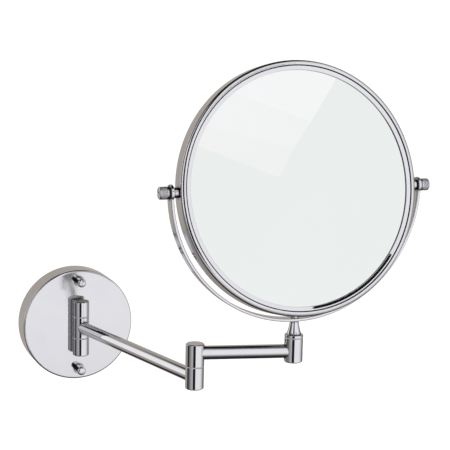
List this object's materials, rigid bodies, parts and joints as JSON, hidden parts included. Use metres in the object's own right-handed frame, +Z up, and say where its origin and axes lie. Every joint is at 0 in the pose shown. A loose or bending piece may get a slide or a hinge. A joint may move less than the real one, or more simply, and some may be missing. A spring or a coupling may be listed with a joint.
{
  "type": "extendable shaving mirror",
  "caption": "Wall-mounted swing-arm shaving mirror: round cover, hinged tube arms and a yoke that carries a tilting double-sided round mirror head.",
  "frame": {"origin": "centre of the wall bracket's flat back face, on the wall plane", "axes": "+Z up, +Y into the wall, so the mirror stands out along -Y"},
  "size_m": [0.3099, 0.2757, 0.3261],
  "materials": {
    "chrome": "polished chrome plate on brass",
    "zinc_plated_steel": "bright zinc plate",
    "spring_steel": "hardened spring steel",
    "white_nylon": "natural nylon",
    "black_nylon": "black nylon",
    "silvered_glass": "polished glass silvered on the back",
    "spacer_plastic": "moulded plastic",
    "foam_sheet": "closed cell foam"
  },
  "bodies": {
    "wall_mount": {"wall_bracket": "zinc_plated_steel", "cover_studs": "zinc_plated_steel", "mounting_cover": "chrome", "cover_stiffener": "zinc_plated_steel", "cap_nuts": "chrome", "upper_wall_knuckle": "chrome", "lower_wall_knuckle": "chrome", "knuckle_screws": "zinc_plated_steel", "wall_hinge_pin": "zinc_plated_steel", "wall_hinge_cap": "chrome", "upper_wall_washer": "white_nylon", "lower_wall_washer": "white_nylon"},
    "first_arm": {"arm1_wall_knuckle": "chrome", "arm1_tube": "chrome", "arm1_elbow_knuckle": "chrome", "elbow_cap": "chrome"},
    "second_arm": {"elbow_pin": "zinc_plated_steel", "elbow_spring_washer": "spring_steel", "elbow_washer": "white_nylon", "arm2_elbow_knuckle": "chrome", "arm2_tube": "chrome", "arm2_mirror_knuckle": "chrome", "mirror_knuckle_cap": "chrome"},
    "yoke_assembly": {"swivel_washer": "white_nylon", "swivel_post": "chrome", "swivel_nut": "zinc_plated_steel", "swivel_spring_washer": "spring_steel", "yoke": "chrome", "yoke_screw": "zinc_plated_steel", "left_knob_washer": "black_nylon", "right_knob_washer": "black_nylon", "left_pivot_washer": "black_nylon", "right_pivot_washer": "black_nylon"},
    "mirror_head": {"head_hoop": "chrome", "front_bezel": "chrome", "rear_bezel": "chrome", "flat_mirror": "silvered_glass", "magnifying_mirror": "silvered_glass", "glass_spacer": "spacer_plastic", "backing_sheet": "foam_sheet", "left_pivot_boss": "chrome", "right_pivot_boss": "chrome"},
    "left_clamp_knob": {"left_knob": "chrome", "left_pivot_screw": "zinc_plated_steel"},
    "right_clamp_knob": {"right_knob": "chrome", "right_pivot_screw": "zinc_plated_steel"}
  },
  "joints": [
    {"name": "wall_swing", "type": "hinge", "parent": "wall_mount", "child": "first_arm", "pos_m": [0, -0.033, 0], "axis": [0, 0, 1], "range_deg": [-103, 77]},
    {"name": "elbow_swing", "type": "hinge", "parent": "first_arm", "child": "second_arm", "pos_m": [0.04589, -0.23177, 0], "axis": [0, 0, 1], "continuous": true},
    {"name": "mirror_swivel", "type": "hinge", "parent": "second_arm", "child": "yoke_assembly", "pos_m": [0.12985, -0.25039, 0], "axis": [0, 0, 1], "continuous": true},
    {"name": "mirror_tilt", "type": "hinge", "parent": "yoke_assembly", "child": "mirror_head", "pos_m": [0.12985, -0.25039, 0.163], "axis": [1, 0, 0], "continuous": true},
    {"name": "left_knob_turn", "type": "hinge", "parent": "mirror_head", "child": "left_clamp_knob", "pos_m": [0.12985, -0.25039, 0.163], "axis": [-1, 0, 0], "range_deg": [0, 180]},
    {"name": "right_knob_turn", "type": "hinge", "parent": "mirror_head", "child": "right_clamp_knob", "pos_m": [0.12985, -0.25039, 0.163], "axis": [1, 0, 0], "range_deg": [0, 180]}
  ]
}
